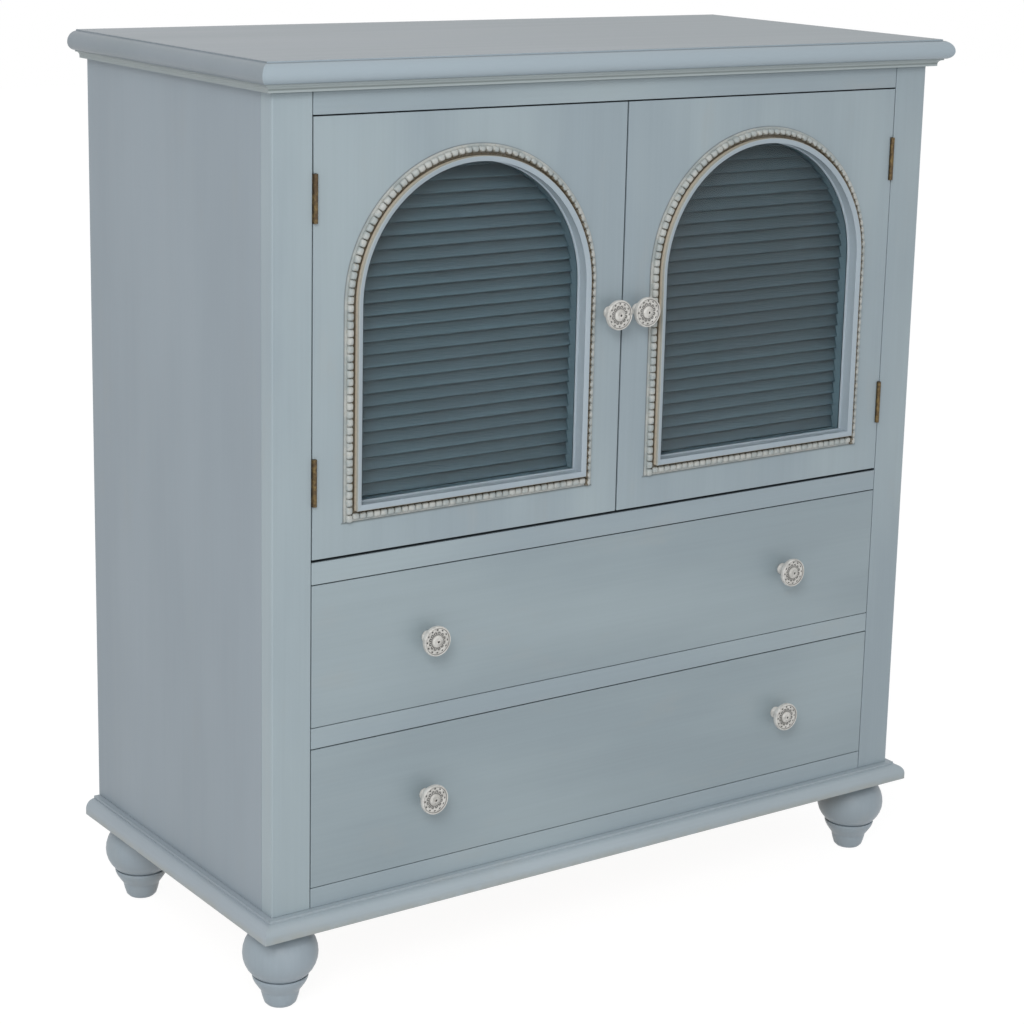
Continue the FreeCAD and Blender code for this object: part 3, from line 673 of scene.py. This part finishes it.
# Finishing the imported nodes

def clean_edges():
    """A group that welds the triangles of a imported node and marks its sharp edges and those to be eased."""
    group = bpy.data.node_groups.new("clean_edges", "GeometryNodeTree")
    group.interface.new_socket("Geometry", in_out="INPUT", socket_type="NodeSocketGeometry")
    group.interface.new_socket("Geometry", in_out="OUTPUT", socket_type="NodeSocketGeometry")

    def add(kind):
        return group.nodes.new(kind)

    def over(value, limit):
        node = add("FunctionNodeCompare")
        node.operation = "GREATER_THAN"
        node.inputs[1].default_value = limit
        group.links.new(value, node.inputs[0])
        return node.outputs[0]

    # Edges that are long and steep enough to be eased
    ends = add("GeometryNodeInputMeshEdgeVertices")
    length = add("ShaderNodeVectorMath")
    length.operation = "DISTANCE"
    group.links.new(ends.outputs["Position 1"], length.inputs[0])
    group.links.new(ends.outputs["Position 2"], length.inputs[1])
    angle = add("GeometryNodeInputMeshEdgeAngle").outputs["Unsigned Angle"]
    both = add("FunctionNodeBooleanMath")
    both.operation = "AND"
    group.links.new(over(length.outputs["Value"], shortest_eased_edge), both.inputs[0])
    group.links.new(over(angle, eased_angle), both.inputs[1])

    # Weld, then normals that are sharp at the edges, then the weights for the bevel
    merge = add("GeometryNodeMergeByDistance")
    merge.inputs["Distance"].default_value = weld_distance
    normals = add("GeometryNodeSetMeshNormal")
    normals.inputs["Remove Custom"].default_value = True
    normals.inputs["Face Sharpness"].default_value = False
    weight = add("GeometryNodeStoreNamedAttribute")
    weight.data_type = "FLOAT"
    weight.domain = "EDGE"
    weight.inputs["Name"].default_value = "bevel_weight_edge"
    group.links.new(add("NodeGroupInput").outputs[0], merge.inputs["Geometry"])
    group.links.new(merge.outputs[0], normals.inputs["Mesh"])
    group.links.new(over(angle, sharp_angle), normals.inputs["Edge Sharpness"])
    group.links.new(normals.outputs[0], weight.inputs["Geometry"])
    group.links.new(both.outputs[0], weight.inputs["Value"])
    group.links.new(weight.outputs[0], add("NodeGroupOutput").inputs[0])
    return group


def finish_node(name, material, group, ease):
    """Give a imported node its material, shading and eased edges. Without a group it keeps its normals."""
    node = nodes[name]
    node.data.materials.clear()
    node.data.materials.append(material)
    if group:
        node.modifiers.new("clean_edges", "NODES").node_group = group
    if ease:
        bevel = node.modifiers.new("eased_edges", "BEVEL")
        bevel.width = ease
        bevel.segments = ease_segments
        bevel.limit_method = "WEIGHT"
        bevel.harden_normals = True


# Mesh helpers

def smooth_piece(name, builder, body, material, sharp_degrees, replaced=()):
    """A finished piece that rides on a body, sharp where it turns more than an angle."""
    mesh = builder.mesh(name)
    mesh.materials.append(material)
    mesh.shade_smooth()
    mesh.set_sharp_from_angle(angle=math.radians(sharp_degrees))
    piece = bpy.data.objects.new(name, mesh)
    bpy.context.scene.collection.objects.link(piece)
    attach(piece, body)
    if replaced:
        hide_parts(*replaced)


class Builder:
    """Points, faces and how deep each point lies in a hollow."""

    def __init__(self):
        self.points = []
        self.faces = []
        self.hollows = []

    def point(self, place, hollow=0.0):
        """Add a point and give its number."""
        self.points.append(tuple(place))
        self.hollows.append(hollow)
        return len(self.points) - 1

    def rings(self, rings, closed=True):
        """Faces between rings of point numbers, closed at both ends or not."""
        for near, far in zip(rings, rings[1:]):
            for index in range(len(near)):
                after = (index + 1) % len(near)
                self.faces.append((near[index], near[after], far[after], far[index]))
        if closed:
            self.faces.append(tuple(reversed(rings[0])))
            self.faces.append(tuple(rings[-1]))

    def mesh(self, name):
        """The mesh of all points and faces."""
        mesh = bpy.data.meshes.new(name)
        mesh.from_pydata(self.points, [], self.faces)
        hollow = mesh.attributes.new("hollow", "FLOAT", "POINT")
        hollow.data.foreach_set("value", self.hollows)
        mesh.validate()
        return mesh


# Bead strips

def arch_line(half):
    """Plan of the arch at a half width: up the right leg, over, and down the left leg."""
    low_z = strip_low.z + strip_outer - half
    line = [(half, low_z), (half, spring_z)]
    for step in range(1, strip_arc_steps):
        turn = math.pi * step / strip_arc_steps
        line.append((half * math.cos(turn), spring_z + half * math.sin(turn)))
    return line + [(-half, spring_z), (-half, low_z)]


def add_bead(builder, place, direction, pitch, stain_and_shade):
    """One carved bead: an uneven, squarish cushion, brown round its foot and up its inner side, where the
    brown is partly painted shade.
    """
    length = pitch - bead_gap * random.uniform(0.6, 1.6)
    width = bead_width * random.uniform(0.96, 1.0)
    height = (bead_proud - strip_thickness) * random.uniform(0.93, 1.0)
    across = Vector((-direction.z, 0, direction.x))
    rings = []
    for reach, rise, square, hollow, ring_stain_and_shade in bead_rings:
        ring = []
        for side in range(bead_sides):
            turn = 2 * math.pi * side / bead_sides
            cos, sin = math.cos(turn), math.sin(turn)
            scale = reach * (abs(cos) ** square + abs(sin) ** square) ** (-1 / square) / 2
            spot = place + direction * (cos * scale * length) + across * (sin * scale * width)
            brown = hollow * 0.45 if sin < -0.3 else hollow
            if sin > 0.2:
                brown = max(brown, ring_stain_and_shade * stain_and_shade)
            ring.append(builder.point(spot - Vector((0, height * rise, 0)), brown))
        rings.append(ring)
    builder.rings(rings)


def bead_strip(side, material):
    """Carved strip: a flat back that follows the arch, with a row of separate beads."""
    middle = strip_middle if side == "right" else -strip_middle
    inner = strip_outer - strip_width
    lip = strip_outer - strip_outer_lip
    foot = lip - bead_width
    builder = Builder()

    # Flat back with square corners at the sill, from lines at a half width, a depth and a hollow
    lines = [
        (arch_line(half), depth, hollow)
        for half, depth, hollow in (
            (strip_outer, 0, 0.6), (inner, 0, 1.0), (inner, strip_thickness, 1.0),
            (foot, strip_thickness, 1.0), (lip, strip_thickness, 0.3),
            (lip + 0.0001, strip_thickness, 0.1), (strip_outer, strip_thickness, 0.15),
        )
    ]
    rings = [
        [builder.point((middle + line[index][0], front_y - depth, line[index][1]), hollow)
         for line, depth, hollow in lines]
        for index in range(len(lines[0][0]))
    ]
    builder.rings(rings + rings[:1], closed=False)

    # Beads up one leg, over the arch and down the other leg
    line = lip - bead_width / 2
    face_y = front_y - strip_thickness
    low_z = strip_low.z + bead_width / 2 + bead_foot_gap
    leg = spring_z - low_z
    over = 2 * leg + math.pi * line
    count = round(over / bead_pitch)
    for index in range(count + 1):
        run = over * index / count
        if run < leg:
            turn = 0.0
            x, z, direction = line, low_z + run, Vector((0, 0, 1))
        elif run > over - leg:
            turn = math.pi
            x, z, direction = -line, low_z + over - run, Vector((0, 0, -1))
        else:
            turn = (run - leg) / line
            x, z = line * math.cos(turn), spring_z + line * math.sin(turn)
            direction = Vector((-math.sin(turn), 0, math.cos(turn)))
        # Brown up the beads' inner side: real stain, and painted shade from the crown that grows towards the
        # right leg
        stain_and_shade = 0.6 + 0.4 * math.cos(turn)
        add_bead(builder, Vector((middle + x, face_y, z)), direction, over / count, stain_and_shade)

    # Beads along the sill, between the legs
    sill_z = strip_low.z + strip_outer_lip + bead_width / 2
    free = line - bead_width / 2
    count = round(2 * free / bead_pitch)
    for index in range(count):
        x = -free + 2 * free * (index + 0.5) / count
        place = Vector((middle + x, face_y, sill_z))
        add_bead(builder, place, Vector((1, 0, 0)), 2 * free / count, sill_stain)
    smooth_piece(side + "_carved_bead_strip", builder, side + "_door", material, 50,
                 [side + "_bead_strip"])


# Knobs

def share_of(value, ring):
    """How far a value has come through a ring, from 0 to 1."""
    return (value - ring[0]) / (ring[1] - ring[0])


def carve(radius, turn):
    """How deep the carving is at a place on the face, and how dark it looks there."""
    depth = dark = 0.0
    wave = 0.5 + 0.5 * math.cos(knob_petals * turn)
    fine = 0.5 + 0.5 * math.cos(2 * knob_petals * turn)
    if pit_ring[0] < radius < pit_ring[1]:
        pit = math.sin(math.pi * share_of(radius, pit_ring)) * wave ** 2
        depth = max(0.0, pit - 0.2)
        dark = min(1.0, max(0.0, pit - 0.25) * 2.0)
    if bell_ring[0] < radius <= bell_ring[1]:
        bell = math.sin(math.pi * share_of(radius, bell_ring))
        hole = math.exp(-((radius - hole_place) / hole_spread) ** 2) * (1.0 - wave) ** 3
        depth = max(depth, bell * (1.0 - fine) * 0.6, 0.9 * hole)
        dark = max(dark, bell * (0.24 + 0.66 * (1.0 - fine)), hole)
    if flute_ring[0] < radius < flute_ring[1]:
        flute = fine ** 2 * math.sin(math.pi * share_of(radius, flute_ring))
        depth = max(depth, 0.35 * flute)
        dark = max(dark, 0.6 * flute)
    if radius < eye_radius:
        depth = dark = 1.0
    return depth, dark


def smooth_outline(points, steps):
    """A Catmull-Rom curve through points."""
    curve = []
    padded = [points[0]] + points + [points[-1]]
    for index in range(1, len(padded) - 2):
        before, start, end, after = (Vector(point) for point in padded[index - 1:index + 3])
        for step in range(steps):
            t = step / steps
            bend = 2 * before - 5 * start + 4 * end - after
            twist = 3 * start - before - 3 * end + after
            curve.append(0.5 * (2 * start + (end - before) * t + bend * t * t + twist * t * t * t))
    return curve + [Vector(points[-1])]


def add_knob(builder, place, radius, projection):
    """A turned knob, carved on its face."""
    outline = smooth_outline(knob_profile, knob_outline_steps)
    face_start = max(range(len(outline)),
                     key=lambda index: outline[index].x if outline[index].y > face_share else 0)
    rings = []
    for index, (out, share) in enumerate(outline):
        on_face = index > face_start
        grooved = on_face and any(low < share < high for low, high in dark_grooves)
        ring = []
        for side in range(knob_sides):
            turn = 2 * math.pi * side / knob_sides
            deep, dark = carve(share, turn) if on_face else (0.0, 0.0)
            reach = out * projection - knob_carving * deep
            spot = place + Vector((share * radius * math.cos(turn), -reach, share * radius * math.sin(turn)))
            ring.append(builder.point(spot, max(dark, groove_dark if grooved else 0.0)))
        rings.append(ring)
    builder.rings(rings)


def add_prism(builder, place, radius, sides, near, far):
    """A bar along Y with eased ends: a stud or a nut."""
    rings = []
    small = radius - fixing_ease
    for y, reach in ((near, small), (near + fixing_ease, radius), (far - fixing_ease, radius), (far, small)):
        rings.append([
            builder.point((place.x + reach * math.cos(2 * math.pi * side / sides), y,
                           place.z + reach * math.sin(2 * math.pi * side / sides)))
            for side in range(sides)
        ])
    builder.rings([list(reversed(ring)) for ring in rings])


def knobs(node, body, name, white, steel):
    """Carved knobs in place of the plain ones, with their studs and nuts."""
    low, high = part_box(node)
    radius = (high.z - low.z) / 2
    centres = {low.x + radius, high.x - radius}
    if high.x - low.x < 3 * radius:
        centres = {(low.x + high.x) / 2}
    carved = Builder()
    fixings = Builder()
    nut_y = front_y + board_thickness
    for x in sorted(centres):
        place = Vector((x, front_y, (low.z + high.z) / 2))
        add_knob(carved, place, radius, front_y - low.y)
        add_prism(fixings, place, stud_radius, stud_sides, front_y + stud_start, high.y)
        add_prism(fixings, place, nut_radius, nut_sides, nut_y, nut_y + nut_thickness)
    smooth_piece(name, carved, body, white, 60, [node])
    smooth_piece(name + "_studs", fixings, body, steel, 30)


# The whole scene

bpy.context.scene.view_settings.view_transform = "Standard"
make_camera()
make_lights()
make_world()
make_floor(floor_material())

white = carved_white()
beads = antiqued_paint()
brass = aged_brass()
steel = zinc_steel()
paints = {grain: jointed_paint("blue_grey_paint_" + grain, front_tints, grain).owner for grain in "xz"}
base_paints = {
    "x": base_paint("base_paint_x", base_front_tints, "x"),
    "y": base_paint("base_paint_y", base_side_tints, "y"),
}
side_paint = brushed_paint("side_paint", side_tints, "z", 0.42, 0.7).owner
inside_paint = brushed_paint("inside_paint", inside_tints, "x", 0.55).owner
frame_paint = brushed_paint("frame_paint", frame_tints, "z", 0.5).owner
drawer_paint = jointed_paint("drawer_paint", drawer_tints, "x").owner
woods = {grain: bare_wood("bare_wood_" + grain, wood_tints, grain) for grain in "xyz"}
back_board = bare_wood("back_board", back_tints, "z")

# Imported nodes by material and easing. {door} stands for left and right, {drawer} for upper and lower.
finishes = [
    (board_top_paint("top_paint", top_tints), 0.0, "top_board"),
    (cove_paint("cove_paint", cove_tints), 0.0, "top_cove_moulding"),
    (side_paint, board_ease, "left_side_panel right_side_panel"),
    (paints["z"], board_ease, "left_stile right_stile"),
    (paints["x"], board_ease, "top_rail door_rail drawer_rail bottom_rail"),
    (base_paints["x"], moulding_ease, "base_moulding_front"),
    (base_paints["y"], moulding_ease, "base_moulding_left base_moulding_right"),
    (turned_paint("foot_paint", foot_tints), 0.0,
     "front_left_foot front_right_foot back_left_foot back_right_foot"),
    (inside_paint, board_ease, "cupboard_floor shelf"),
    (back_board, board_ease, "back_panel {drawer}_drawer_bottom"),
    (woods["x"], board_ease, "bottom_board divider_board base_back_rail {drawer}_drawer_back"),
    (woods["y"], board_ease, "drawer_runners {drawer}_drawer_left_side {drawer}_drawer_right_side"),
    (woods["z"], board_ease, "foot_blocks"),
    (steel, moulding_ease, "shelf_pins"),
    (steel, 0.0, "{door}_strike_plate"),
    (catch_plastic(), board_ease, "door_catches"),
    (brass, 0.0, "hinge_frame_leaves {door}_hinge_door_leaves"),
    (door_paint("door_paint", front_tints), board_ease, "{door}_door_panel"),
    (glazed_paint("moulding_paint", moulding_tints), 0.0, "{door}_arch_moulding"),
    (clear_glass(), 0.0, "{door}_door_glass"),
    (frame_paint, 0.0, "{door}_screen_frame"),
    (slat_paint("slat_paint", slat_tints), 0.0, "{door}_screen_slats"),
    (drawer_paint, board_ease, "{drawer}_drawer_front"),
]
pairs = (("left", "upper"), ("right", "lower"))
edges = clean_edges()
for material, ease, patterns in finishes:
    names = {name for door, drawer in pairs for name in patterns.format(door=door, drawer=drawer).split()}
    for name in sorted(names):
        # The triangles of the cove are so long that only its own normals shade it evenly
        finish_node(name, material, None if name == "top_cove_moulding" else edges, ease)

for door, drawer in pairs:
    bead_strip(door, beads)
    knobs(door + "_door_knob", door + "_door", door + "_carved_knob", white, steel)
for door, drawer in pairs:
    knobs(drawer + "_drawer_knobs", drawer + "_drawer", drawer + "_carved_knobs", white, steel)
